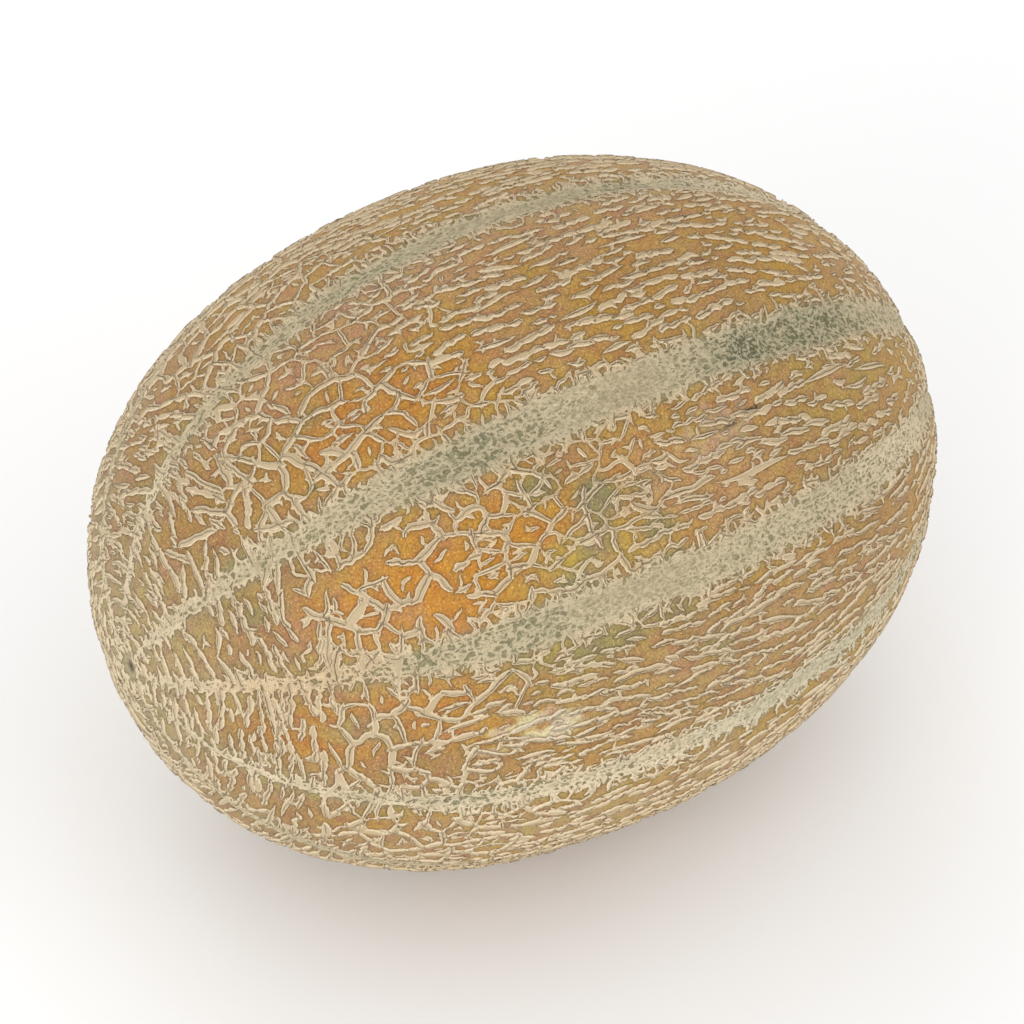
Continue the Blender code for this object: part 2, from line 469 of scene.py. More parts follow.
class Welts:
    """Ridges of cork, kept as short straight segments."""

    def __init__(self, body, rng):
        self.body, self.rng = body, rng
        self.parts = []
        # The (start, stop, half width) of the welts that later loose ones keep clear of.
        self.laid = []

    def add(
        self, start, stop, half_width, joined,
        past=0.0, bend=0.07, relief=1.0, cracked=0.85, fullness=2.3, points=10,
    ):
        """start and stop are the (arc, angle) of the welts' ends. joined is the share of its width
        that each welt keeps at either end: 0 is a pointed tip. past is how far, in metres, it runs on
        beyond either end. A lower fullness makes a slimmer spindle."""
        rng, count = self.rng, len(start)
        if not count:
            return
        girth = self.body.girth_at((start[:, 0] + stop[:, 0]) / 2)
        chord = self.body.chord(start, stop)
        length = np.maximum(np.linalg.norm(chord, axis=1), 0.05 * MM)
        sideways = np.stack([-chord[:, 1], chord[:, 0]], 1) / length[:, None]
        past = np.broadcast_to(past, (count, 2)) / length[:, None]
        share = np.linspace(0.0, 1.0, points)
        t = -past[:, :1] + (1.0 + past.sum(axis=1, keepdims=True)) * share
        sag = rng.normal(0.0, bend, (count, 1)) * np.sin(math.pi * t)
        sway = rng.normal(0.0, 0.4 * bend, (count, 1)) * np.sin(math.tau * t)
        hats = np.maximum(0.0, 1.0 - np.abs(share * (KNOTS + 1) - np.arange(1, KNOTS + 1)[:, None]))
        kinks = rng.normal(0.0, 0.028, (count, KNOTS)) @ hats * np.minimum(length, 5.0 * MM)[:, None]
        offset = (sag + sway) * length[:, None] + kinks
        arc = start[:, :1] + t * chord[:, :1] + offset * sideways[:, :1]
        angle = start[:, 1:] + (t * chord[:, 1:] + offset * sideways[:, 1:]) / girth[:, None]
        lean = np.exp(rng.normal(0.0, 0.22, (count, 1)))
        swell = 1.0 - np.abs(2.0 * share**lean - 1.0) ** fullness
        ends = np.broadcast_to(joined, (count, 2))
        kept = ends[:, :1] * (1.0 - share) + ends[:, 1:] * share
        ragged = 1.0 + 0.08 * rng.uniform(-1.0, 1.0, (count, KNOTS)) @ hats
        ragged = ragged + 0.020 * rng.normal(0.0, 1.0, t.shape)
        width = np.broadcast_to(half_width, (count,))[:, None] * (kept + (1.0 - kept) * swell) * ragged
        crack = np.where(rng.uniform(0, 1, count) < cracked, rng.uniform(0.5, 1.0, count), 0.0)
        relief, tone = np.broadcast_to(relief, (count,)), rng.uniform(0, 1, count)
        whole = {"crack": crack, "relief": relief, "tone": tone}
        inside = (arc.min(1) > 0) & (arc.max(1) < self.body.length)
        whole = {name: np.repeat(values[inside], points - 1) for name, values in whole.items()}
        self.parts.append(whole | self.segments_of(arc[inside], angle[inside], width[inside]))

    def segments_of(self, arc, angle, width):
        polar = self.body.polar_at(arc)
        place = self.body.place(polar, angle)
        start = place[:, :-1].reshape(-1, 3)
        along = place[:, 1:].reshape(-1, 3) - start
        side = np.cross(self.body.outward(polar[:, :-1], angle[:, :-1]).reshape(-1, 3), along)
        return {
            "start": start,
            "along": along,
            "side": side / np.maximum(np.linalg.norm(side, axis=1, keepdims=True), 1e-12),
            "half_width": width[:, :-1].ravel(),
            "widening": (width[:, 1:] - width[:, :-1]).ravel(),
            "arc": arc[:, :-1].ravel(),
            "arc_after": arc[:, 1:].ravel(),
            "angle": angle[:, :-1].ravel(),
            "angle_after": angle[:, 1:].ravel(),
        }

    def segments(self):
        return {name: np.concatenate([part[name] for part in self.parts]) for name in self.parts[0]}

    def add_spurs(self, start, stop, chance):
        """Thin side branches, from somewhere along the lines from start to stop."""
        rng = self.rng
        chosen = rng.uniform(0, 1, len(start)) < chance
        start, stop = start[chosen], stop[chosen]
        count = len(start)
        root = start + rng.uniform(0.25, 0.75, (count, 1)) * (stop - start)
        along = self.body.chord(start, stop)
        heading = np.arctan2(along[:, 1], along[:, 0])
        heading += rng.choice([-1.0, 1.0], count) * rng.uniform(0.7, 1.4, count)
        tip = self.body.step(root, heading, rng.uniform(1.0, 2.4, count) * MM)
        self.add(root, tip, rng.uniform(0.22, 0.34, count) * MM, (0.8, 0.0), relief=0.75, cracked=0.2)


def add_ridges(welts):
    for half_width, line in RIDGES:
        places = np.radians(line)
        places[:, 0] = welts.body.arc_at(places[:, 0])
        count = len(places) - 1
        joined = np.full((count, 2), 0.85)
        joined[0, 0] = joined[-1, 1] = 0.0
        welts.laid.append((places[:-1], places[1:], np.full(count, half_width * MM)))
        welts.add(places[:-1], places[1:], half_width * MM, joined, past=0.1 * MM, bend=0.03, cracked=1.0)


def grow_net(body, rng):
    """The whole web of welts."""
    welts = Welts(body, rng)
    add_ridges(welts)
    cells = scatter_cells(body, rng, closest=0.80, reach=6.0 * MM, tries=90000)
    clumps = scatter_cells(body, rng, closest=1.75, reach=14.0 * MM, tries=12000)
    add_borders(welts, cells, clumps)
    add_dashes(welts)
    add_flecks(welts, cells)
    for angle in SUTURE_ANGLES:
        add_comb(welts, angle)
    for suture in range(len(SUTURE_ANGLES)):
        add_sponge(welts, suture)
    add_spokes(welts)
    return welts


def loose_at(grain):
    """The share of the net that is loose welts rather than closed cells."""
    return steps(np.abs(grain), 0.30, 0.85)


def add_borders(welts, cells, clumps):
    """Welts along the borders between cells, which make a closed net where most of them are kept.
    The stout ones run between clumps of cells, and thin ones divide the clumps."""
    body, rng = welts.body, welts.rng
    starts, stops, junction, strong = cell_borders(Plane(body), cells, clumps)
    starts, stops = straightened(body.wandered(starts), body.wandered(stops), junction, strong)
    spots = Spots(body, *((starts + stops) / 2).T)
    chord = body.chord(starts, stops)
    length = np.linalg.norm(chord, axis=1)
    grain = spots.grain()
    lengthwise = np.abs(chord[:, 0]) / np.maximum(length, 1e-9)
    with_grain = np.where(grain > 0.0, lengthwise, np.sqrt(1.0 - lengthwise**2))
    loose = loose_at(grain)
    keep = np.where(strong, 0.92, 0.78) * (1.0 - loose) + 0.08 * loose
    keep = keep - 0.25 * np.abs(grain) * (1.0 - with_grain)
    kept = (rng.uniform(0, 1, len(length)) < keep) & (length > 0.5 * MM) & (length < 14 * MM)
    kept &= spots.beyond_band() > -0.6 * MM
    starts, stops, spots, length = (v[kept] for v in (starts, stops, spots, length))
    junction, loose, strong = junction[:, kept], loose[kept], strong[kept]
    degree = np.bincount(junction.ravel(), minlength=junction.max() + 1)
    attached = (degree[junction] > 1).T
    count = len(length)

    stout = rng.uniform(0, 1, count) < np.where(strong, 1.0, 0.40) * spots.stoutness() - 0.35 * loose
    half_width = np.where(stout, rng.uniform(0.50, 0.76, count), rng.uniform(0.28, 0.44, count)) * MM
    half_width *= np.clip((length / (4 * MM)) ** 0.30, 0.65, 1.15)
    half_width *= 1.0 + 0.2 * (1.0 - steps(spots.degrees, 50, 70))
    joined = np.where(attached, rng.uniform(0.10, 0.52, (count, 2)), 0.0)
    spur = attached & (rng.uniform(0, 1, (count, 2)) < 0.36)
    past = np.where(spur, rng.uniform(0.6, 1.9, (count, 2)), 0.1) * MM
    past = np.where(attached, past, -rng.uniform(0.0, 0.2, (count, 2)) * length[:, None])
    joined = np.where(spur, 0.0, joined)
    welts.laid.append((starts, stops, half_width))
    welts.add(starts, stops, half_width, joined, past, relief=np.where(stout, 1.0, 0.8))
    welts.add_spurs(starts, stops, 0.50 * steps(length, 1.5 * MM, 3.5 * MM))


def kept_apart(body, laid, start, stop, half_width, gap):
    """The indices of the welts that are left when each one that comes too close to a laid or an
    earlier one is dropped. Side by side they keep this gap, and tip to tip they may touch."""
    already = len(laid[0])
    start, stop, half_width = (np.concatenate(both) for both in zip(laid, (start, stop, half_width)))
    gap = np.concatenate([np.full(already, gap.min()), gap])
    share = np.linspace(0.0, 1.0, 11)[1:-1]
    samples = start[:, None] + share[:, None] * (stop - start)[:, None]
    places = body.place(body.polar_at(samples[..., 0]), samples[..., 1])
    room = (half_width + gap / 2)[:, None] * (1.0 - np.abs(2.0 * share - 1.0) ** 2.5)
    cells = np.floor(places / (2.4 * MM)).astype(int).tolist()
    samples = np.concatenate([places, room[..., None]], -1).tolist()
    filled, kept = {}, []

    def clear(welt, welt_cells):
        for (x, y, z, r), cell in zip(welt, welt_cells):
            for ox, oy, oz, other in filled.get(tuple(cell), ()):
                if (x - ox) ** 2 + (y - oy) ** 2 + (z - oz) ** 2 < (r + other) ** 2:
                    return False
        return True

    for i, (welt, welt_cells) in enumerate(zip(samples, cells)):
        if i < already or clear(welt, welt_cells):
            kept.append(i)
            for sample, (a, b, c) in zip(welt, welt_cells):
                for da, db, dc in itertools.product((-1, 0, 1), repeat=3):
                    filled.setdefault((a + da, b + db, c + dc), []).append(sample)
    return np.array(kept[already:]) - already


def add_dashes(welts):
    """Loose welts where the net has a grain: long ones first, then ever shorter and slighter ones
    in the room that is left. Long ones are broken into two or three pieces."""
    body, rng = welts.body, welts.rng
    arc = rng.uniform(0.0, body.length, 3 * LOOSE_WELT_TRIES)
    arc = arc[rng.uniform(0.0, body.radius, len(arc)) < body.girth_at(arc)][:LOOSE_WELT_TRIES]
    spots = Spots(body, arc, rng.uniform(-math.pi, math.pi, len(arc)))
    chance = np.maximum(0.4, steps(np.abs(spots.grain()), 0.05, 0.50))
    spots = spots[
        (spots.beyond_band() > 0.4 * MM) & (rng.uniform(0, 1, len(arc)) < chance) & (spots.girth > 6 * MM)
    ]
    count = len(spots.arc)
    length, width = spots.cell_size()
    across, drawn_out = spots.grain() < 0.0, spots.drawn_out()
    rank = np.linspace(0.0, 1.0, count)
    reach = np.where(across, 1.05 * width, length) * (1.45 - 1.15 * rank)
    reach *= np.exp(rng.normal(0.0, 0.30, count))
    reach *= 1.0 + 0.4 * drawn_out
    reach = np.maximum(reach, 1.3 * MM)
    tilt = 0.24 * noise(spots.place, 22 * MM, 8) + rng.normal(0.0, 1.0, count) * np.where(across, 0.20, 0.12)
    heading = np.where(across, math.pi / 2, 0.0) + tilt
    half_width = (0.74 - 0.38 * rank**1.3) * rng.uniform(0.82, 1.12, count) * MM
    half_width *= 1.0 - 0.18 * drawn_out
    half_width *= 0.65 + 0.35 * spots.stoutness()
    centre = spots.rows()
    start, stop = body.ends(centre, heading, 0.5 * reach)
    gap = np.where(across, 0.26, 0.64 - 0.34 * drawn_out) * (1.0 - 0.35 * rank)
    gap = gap * (1.0 + 0.5 * noise(spots.place, 13 * MM, 9)) * MM
    laid = [np.concatenate(column) for column in zip(*welts.laid)]
    kept = kept_apart(body, laid, start, stop, half_width, gap)
    centre, reach, heading, half_width = centre[kept], reach[kept], heading[kept], half_width[kept]
    pieces = np.where(reach > 7.5 * MM, 3, np.where(reach > 4.8 * MM, 2, 1))
    pieces = np.where(rng.uniform(0, 1, len(kept)) < 0.30, 1, pieces)
    for many in (1, 2, 3):
        chosen = pieces == many
        lean = heading[chosen] + (rng.choice([-0.14, 0.14], chosen.sum()) if many > 1 else 0.0)
        for piece in range(many):
            along = (piece - (many - 1) / 2) * reach[chosen] / many
            middle = body.step(centre[chosen], heading[chosen], along)
            half_reach = 0.5 * reach[chosen] / many * (1.12 if many > 1 else 1.0)
            joined = (0.35 * (piece > 0), 0.35 * (piece < many - 1))
            ends = body.ends(middle, lean, half_reach)
            welts.add(*ends, half_width[chosen], joined, bend=0.045, fullness=1.65)
    welts.add_spurs(start[kept], stop[kept], 0.30)


def add_flecks(welts, cells):
    """Short slight welts inside the cells of the closed net."""
    body, rng = welts.body, welts.rng
    spots = Spots(body, *body.wandered(cells.rows()).T)
    closed = 1.0 - loose_at(spots.grain())
    chosen = (spots.beyond_band() > 0.4 * MM) & (rng.uniform(0, 1, len(closed)) < 0.80 * closed)
    spots = spots[chosen]
    length, width = spots.cell_size()
    count = len(length)
    reach = rng.uniform(0.14, 0.38, count) * np.sqrt(length * width)
    heading = rng.uniform(0.0, math.pi, count)
    start, stop = body.ends(spots.rows(), heading, reach)
    welts.add(start, stop, rng.uniform(0.22, 0.40, count) * MM, 0.0, relief=0.7, cracked=0.1)
    welts.add_spurs(start, stop, 0.35)


def add_comb(welts, suture_angle):
    """Short thin welts that stand out from both sides of a corky band, and welts along it."""
    body, rng = welts.body, welts.rng
    for side in (-1.0, 1.0):
        arc = 12.0 * MM + np.cumsum(rng.uniform(1.5, 3.1, 150) * MM)
        arc = arc[arc < body.length - 14.0 * MM]
        count = len(arc)
        spots = Spots(body, arc, np.full(count, suture_angle))
        rise = spots.band_half_width() - 0.5 * MM
        root = np.stack([arc, suture_angle + side * rise / spots.girth], 1)
        wanted = rng.uniform(0, 1, count) < 0.30 + 0.45 * steps(spots.degrees, 35, 60)
        heading = side * (math.pi / 2 + rng.normal(0.0, 0.35, count))
        reach = rng.uniform(1.8, 4.6, count) * MM * (0.5 + 0.5 * steps(spots.girth, 15 * MM, 50 * MM))
        tip = body.step(root, heading, reach)
        half_width = rng.uniform(0.24, 0.42, count) * MM
        welts.add(root[wanted], tip[wanted], half_width[wanted], (0.8, 0.0), bend=0.10, relief=0.85)
        welts.add_spurs(root[wanted], tip[wanted], 0.35)
        along = rng.uniform(0, 1, count - 1) < 0.40
        welts.add(root[:-1][along], root[1:][along], 0.30 * MM, 0.5, past=0.2 * MM, relief=0.85)


def add_sponge(welts, suture):
    """The fine closed net inside the corky band over this suture."""
    body, rng = welts.body, welts.rng
    low, high = SPONGE_FROM_BLOSSOM, body.length - SPONGE_FROM_STEM
    along = np.arange(low, high, SPONGE_CELL[0])
    across = np.arange(-SPONGE_REACH, SPONGE_REACH, SPONGE_CELL[1])
    cells = np.stack(np.meshgrid(along, across), -1).reshape(-1, 2)
    cells += rng.uniform(-0.45, 0.45, cells.shape) * SPONGE_CELL
    start, stop, _ = voronoi(cells / SPONGE_CELL)
    start, stop = start * SPONGE_CELL, stop * SPONGE_CELL
    middle = (start + stop) / 2
    inside = (middle[:, 0] > low) & (middle[:, 0] < high) & (np.linalg.norm(stop - start, axis=1) < 4.0 * MM)
    start, stop, middle = start[inside], stop[inside], middle[inside]
    for places in (start, stop, middle):
        girth = np.maximum(body.girth_at(places[:, 0]), LEAST_GIRTH)
        places[:, 1] = SUTURE_ANGLES[suture] + places[:, 1] / girth
    spots = Spots(body, *middle.T)
    keep = 0.88 - 0.66 * spots.stretches(DARK_STRETCHES, suture)
    keep *= 1.0 - steps(spots.beyond_band(), -0.6 * MM, 0.8 * MM)
    kept = (rng.uniform(0, 1, len(keep)) < keep) & (spots.girth > 3.0 * MM)
    half_width = rng.uniform(0.13, 0.30, len(keep)) * MM
    welts.add(start[kept], stop[kept], half_width[kept], 0.85, bend=0.12, relief=0.6, cracked=0.0, points=4)


def add_spokes(welts, count=20):
    """Cracked welts that run out from the rim of the stem scar."""
    body, rng = welts.body, welts.rng
    angle = (np.arange(count) + rng.uniform(-0.3, 0.3, count)) / count * math.tau - math.pi
    rim = np.full(count, body.length - 1.12 * STEM_SCAR_RADIUS)
    start = np.stack([rim, angle], 1)
    stop = np.stack([rim - rng.uniform(3.0, 9.0, count) * MM, angle + rng.normal(0.0, 0.10, count)], 1)
    welts.add(start, stop, rng.uniform(0.45, 0.75, count) * MM, (0.7, 0.0), bend=0.05, cracked=1.0)


# ------------------------------------------------------------------ the patches of skin
class Patch(Spots):
    """One face of the blown-up cube: a grid of places on the skin."""

    def __init__(self, body, name, middle, column, row, columns, rows):
        self.name, self.shape = name, (rows + 1, columns + 1)
        self.axes = np.array([middle, column, row], float)
        across, up = (np.tan(np.linspace(-math.pi / 4, math.pi / 4, count + 1)) for count in (columns, rows))
        across, up = np.meshgrid(across, up)
        towards = self.axes[0] + across[..., None] * self.axes[1] + up[..., None] * self.axes[2]
        towards = (towards / np.linalg.norm(towards, axis=-1, keepdims=True)).reshape(-1, 3)
        arc = np.arccos(np.clip(-towards[:, 0], -1.0, 1.0)) / math.pi * body.length
        super().__init__(body, arc, np.arctan2(-towards[:, 1], towards[:, 2]))
        self.outward = body.outward(self.polar, self.angle)
        self.at_stem = np.cos(self.polar) < 0
        self.at_blossom = np.cos(self.polar) > 0

    def grid_place(self, arc, angle):
        """Column and row of places on the skin, in cells, and how squarely the patch faces them."""
        share = arc / self.body.length * math.pi
        away = np.sin(share)
        towards = np.stack([-np.cos(share), -away * np.sin(angle), away * np.cos(angle)], 1)
        ahead, across, up = (towards @ axis for axis in self.axes)
        column, row = (
            (np.arctan2(side, np.maximum(ahead, 0.05)) / (math.pi / 2) + 0.5) * (count - 1)
            for side, count in ((across, self.shape[1]), (up, self.shape[0]))
        )
        return np.stack([column, row, ahead], 1)


def make_patches(body):
    along, around = CELLS_ALONG, CELLS_AROUND
    faces = (
        ("rind_front", (0, -1, 0), (1, 0, 0), (0, 0, 1), along, around),
        ("rind_back", (0, 1, 0), (-1, 0, 0), (0, 0, 1), along, around),
        ("rind_top", (0, 0, 1), (1, 0, 0), (0, 1, 0), along, around),
        ("rind_under", (0, 0, -1), (1, 0, 0), (0, -1, 0), along, around),
        ("rind_blossom_end", (-1, 0, 0), (0, -1, 0), (0, 0, 1), around, around),
        ("rind_stem_end", (1, 0, 0), (0, 1, 0), (0, 0, 1), around, around),
    )
    return [Patch(body, *face) for face in faces]


# The distance given to a place that no welt is near.
CLEAR_OF_CORK = 1.2 * MM
# How far from its edge a welt is looked for, and the side that a grid cell is taken to have there.
WELT_REACH, CELL_SIDE = 0.60 * MM, 0.26 * MM
# A patch takes the welts that it faces at least this squarely: 1 is straight on.
SQUARELY = 0.3


class Nearest:
    """For places on a patch, from the welt whose edge is nearest to each: the distance to that edge
    (below 0 inside the cork), the way from the welt's midline, and what the welt passes on."""

    def __init__(self, patch, place, segments, batch=6000):
        total = len(place)
        self.edge, self.midline = np.full(total, CLEAR_OF_CORK), np.full(total, CLEAR_OF_CORK)
        self.away = np.zeros((total, 3))
        self.half_width, self.crack, self.relief, self.tone = (np.zeros(total) for _ in range(4))
        chosen, low, size = self.windows(patch, segments)
        cells = size[:, 0] * size[:, 1]
        for begin in range(0, len(chosen), batch):
            part = np.arange(begin, min(begin + batch, len(chosen)))
            owner = np.repeat(part, cells[part])
            within = np.arange(len(owner)) - np.repeat(np.cumsum(cells[part]) - cells[part], cells[part])
            row = low[owner, 1] + within // size[owner, 0]
            column = low[owner, 0] + within % size[owner, 0]
            self.take(place, segments, row * patch.shape[1] + column, chosen[owner])

    def windows(self, patch, segments):
        """The segments near the patch, with the corner and the size of the grid window each reaches."""
        start = patch.grid_place(segments["arc"], segments["angle"])
        stop = patch.grid_place(segments["arc_after"], segments["angle_after"])
        widest = np.maximum(segments["half_width"], segments["half_width"] + segments["widening"])
        reach = (widest + WELT_REACH) / CELL_SIDE
        low = np.floor(np.minimum(start, stop)[:, :2] - reach[:, None]).astype(int)
        high = np.ceil(np.maximum(start, stop)[:, :2] + reach[:, None]).astype(int)
        last = np.array(patch.shape)[::-1] - 1
        faced = (start[:, 2] > SQUARELY) & (stop[:, 2] > SQUARELY)
        chosen = np.flatnonzero(faced & (high >= 0).all(axis=1) & (low <= last).all(axis=1))
        low, high = low[chosen].clip(0), np.minimum(high[chosen], last)
        return chosen, low, high - low + 1

    def take(self, place, segments, vertex, segment):
        """Notes these segments at these vertices, where they are nearer than what is known there."""
        along = segments["along"][segment]
        away = place[vertex] - segments["start"][segment]
        share = (away * along).sum(1) / np.maximum((along**2).sum(1), 1e-12)
        share = share.clip(0.0, 1.0)
        away -= along * share[:, None]
        reached = segments["half_width"][segment] + share * segments["widening"][segment]
        edge = np.sqrt((away**2).sum(1)) - reached
        useful = edge < self.edge[vertex]
        vertex, segment, away, edge, reached = (v[useful] for v in (vertex, segment, away, edge, reached))
        np.minimum.at(self.edge, vertex, edge)
        best = edge <= self.edge[vertex]
        vertex, segment, away = vertex[best], segment[best], away[best]
        self.away[vertex] = away
        self.midline[vertex] = (away * segments["side"][segment]).sum(1)
        self.half_width[vertex] = reached[best]
        for name in ("crack", "relief", "tone"):
            getattr(self, name)[vertex] = segments[name][segment]


# ------------------------------------------------------------------ what the skin carries
# A vertex this near to a welt's edge or midline is moved onto it, as a share of the grid's spacing:
# to an edge, to a midline from outside the cork, and to one from inside it.
SNAP_TO_EDGE, SNAP_FROM_OUTSIDE, SNAP_FROM_INSIDE = 0.44, 0.44, 0.36
# Height of a full welt, and depth of the rim of skin sunk beside it.
WELT_HEIGHT, WELT_MOAT = 0.64 * MM, 0.06 * MM


class Skin:
    """Everything that one patch's vertices carry, and their relief."""

    def __init__(self, patch, segments):
        self.patch, girth = patch, patch.girth
        self.flat = self.drawn_to_welts(Nearest(patch, patch.place, segments))
        self.net = Nearest(patch, self.flat, segments)
        beyond = patch.beyond_band(self.flat)
        self.band = (1.0 - steps(beyond, -1.6 * MM, 1.6 * MM)) * (1.0 - patch.stretches(THIN_STRETCHES))
        self.dark = patch.stretches(DARK_STRETCHES) * self.band
        self.smooth = patch.stretches(SMOOTH_STRETCHES) * (1.0 - steps(beyond, -2.0 * MM, 0.3 * MM))
        self.sponge = noise(self.flat, 1.5 * MM, 31) + 0.5 * noise(self.flat, 0.8 * MM, 32)
        ragged = girth + 0.4 * MM * self.sponge
        at_blossom = 1.0 - steps(ragged, 0.6 * BLOSSOM_SCAR_RADIUS, BLOSSOM_SCAR_RADIUS)
        at_blossom *= 1.0 - bell(girth, 0.0, 1.4 * MM)
        at_stem = 1.0 - steps(ragged, 0.80 * STEM_SCAR_RADIUS, 0.95 * STEM_SCAR_RADIUS)
        self.scar = np.where(patch.at_blossom, at_blossom, at_stem)
        self.smooth, self.band = np.maximum(self.smooth, self.scar), np.maximum(self.band, self.scar)
        self.place, self.rise = self.raised()

    def drawn_to_welts(self, nearest):
        """Moves the vertices that are nearest to a welt's edge or midline onto it, so that the welts
        have clean outlines and ridges. Vertices on the patch's border stay: they are shared."""
        grid = self.patch.place.reshape(*self.patch.shape, 3)
        spacing = np.zeros(self.patch.shape)
        down = np.linalg.norm(grid[2:, 1:-1] - grid[:-2, 1:-1], axis=-1) / 2
        right = np.linalg.norm(grid[1:-1, 2:] - grid[1:-1, :-2], axis=-1) / 2
        spacing[1:-1, 1:-1] = np.minimum(down, right)
        spacing = spacing.ravel()
        distance = np.linalg.norm(nearest.away, axis=1)
        on_edge = (nearest.half_width > 0.9 * spacing) & (np.abs(nearest.edge) < SNAP_TO_EDGE * spacing)
        wanted = np.where(on_edge, nearest.edge, distance)
        snap = np.where(nearest.edge < 0.0, SNAP_FROM_INSIDE, SNAP_FROM_OUTSIDE)
        near = on_edge | (distance < snap * spacing)
        share = np.where(near, wanted / np.maximum(distance, 1e-9), 0.0)
        return self.patch.place - share[:, None] * nearest.away

    def raised(self):
        """Raises the cork, sinks the sutures and the scars, and keeps the underside flat."""
        patch, net, girth = self.patch, self.net, self.patch.girth
        groove = GROOVE_DEPTH * (girth / patch.body.radius)
        groove = groove * bell(patch.turn * girth, 0.0, GROOVE_HALF_WIDTH)
        depth = np.clip(-net.edge / np.clip(net.half_width, 0.25 * MM, 0.62 * MM), 0.0, 1.0)
        height = WELT_HEIGHT * net.relief * np.clip(net.half_width / (0.40 * MM), 0.6, 1.0)
        height *= 1.0 - 0.25 * patch.fineness()
        height *= 1.0 - (1.0 - depth) ** 2.2
        height -= WELT_MOAT * np.clip(1.0 - net.edge / (0.6 * MM), 0.0, 1.0)
        flat_cork = (0.30 + 0.10 * self.sponge) * MM * self.smooth
        height = np.maximum(height, flat_cork) + 0.14 * MM * self.sponge * self.band
        lumps = 0.12 * MM * noise(self.flat, 9 * MM, 41) + 0.05 * MM * noise(self.flat, 2.5 * MM, 42)
        scar = np.where(
            patch.at_blossom,
            BLOSSOM_SCAR_DEPTH * np.exp(-((girth / BLOSSOM_SCAR_RADIUS) ** 4)),
            STEM_SCAR_DEPTH * np.exp(-((girth / STEM_SCAR_RADIUS) ** 10)),
        )
        rim = patch.at_stem * bell(girth, 1.10 * STEM_SCAR_RADIUS, 1.2 * MM)
        rim = rim * (0.75 + 0.15 * self.sponge) * MM
        rim += patch.at_stem * bell(girth, 0.0, 2.2 * MM) * 0.7 * MM
        rise = height + lumps + rim - groove - scar - SKIN_INSET
        place = self.flat + rise[:, None] * patch.outward
        place[:, 2] = np.maximum(place[:, 2], 0.0)
        return place, rise


# ------------------------------------------------------------------ pigments, in linear light
def pigment(red, green, blue):
    """A colour given as it looks on a screen, 0 to 255, in linear light."""
    share = np.array([red, green, blue]) / 255.0
    return np.where(share <= 0.04045, share / 12.92, ((share + 0.055) / 1.055) ** 2.4)


TAN = pigment(156, 118, 72)
PALE_TAN = pigment(168, 140, 102)
BROWN = pigment(148, 112, 76)
GOLD = pigment(170, 127, 56)
ORANGE = pigment(182, 118, 30)
OLIVE = pigment(164, 142, 70)
ROSE = pigment(172, 130, 94)
SAGE = pigment(144, 134, 102)
MOSS = pigment(132, 120, 84)
DEEP_GREEN = pigment(104, 102, 76)
PALE_CREAM = pigment(222, 204, 172)
CREAM = pigment(208, 188, 154)
GREY_CREAM = pigment(190, 176, 144)
SAGE_CREAM = pigment(206, 198, 170)
SCUFFED = pigment(178, 152, 124)
WHITISH = pigment(208, 192, 168)
DARK_BROWN = pigment(64, 48, 32)
WARM_CREAM = pigment(204, 174, 132)
SCAR_BROWN = pigment(170, 142, 102)

# Patches of colour on the skin: (polar, angle, half size along, half size round, pigment, strength).
STAINS = (
    (24, 40, 34, 400, TAN, 0.9),
    (0, 40, 24, 400, PALE_TAN, 0.9),
    (60, 50, 20, 12, ORANGE, 0.9),
    (48, 76, 22, 12, ORANGE, 0.55),
    (62, 18, 16, 10, ORANGE, 0.6),
    (99, 49, 11, 8, ROSE, 0.7),
    (85, 112, 34, 10, PALE_TAN, 0.8),
    (79, 71, 12, 10, OLIVE, 0.6),
    (100, 80, 30, 15, TAN, 1.0),
    (100, 82, 26, 11, PALE_TAN, 0.4),
    (30, 96, 12, 8, PALE_TAN, 0.6),
    (118, 48, 14, 12, TAN, 0.6),
    (80, 54, 9, 5, OLIVE, 0.7),
    (60, -4, 30, 8, ROSE, 0.7),
    (100, -5, 30, 6, ROSE, 0.4),
    (60, 88, 14, 6, BROWN, 0.8),
    (52, 83, 7, 5, BROWN, 0.6),
    (78, 40, 3.2, 2.8, MOSS, 0.9),
    (84.4, 45.4, 2.6, 3.6, MOSS, 1.0),
    (82.6, 52, 2.2, 3.4, MOSS, 0.9),
    (89.4, 53.5, 1.8, 2.8, MOSS, 0.9),
    (90, 46.5, 2.2, 2.0, MOSS, 0.6),
    (35, 50, 9, 8, BROWN, 0.5),
    (78.6, 57.6, 4.4, 2.2, MOSS, 0.9),
    (89.8, 59.6, 3.2, 1.6, MOSS, 0.9),
    (35, 27, 3.4, 2.0, MOSS, 0.7),
    (35, 42.5, 5, 3.2, MOSS, 0.7),
    (56.5, 9.2, 2.6, 2.0, MOSS, 0.6),
    (78, 70.2, 6, 2.0, MOSS, 0.6),
    (94, 77, 3.0, 2.2, SAGE, 0.8),
    (82, 68.5, 12, 2.5, MOSS, 0.6),
    (125, 44, 14, 8, OLIVE, 0.4),
    (46, 77, 6, 4, SAGE, 0.6),
    (75, 150, 26, 16, ORANGE, 0.7),
    (120, 215, 24, 18, ORANGE, 0.5),
    (70, 250, 26, 16, GOLD, 0.7),
    (110, 290, 20, 14, ORANGE, 0.6),
)
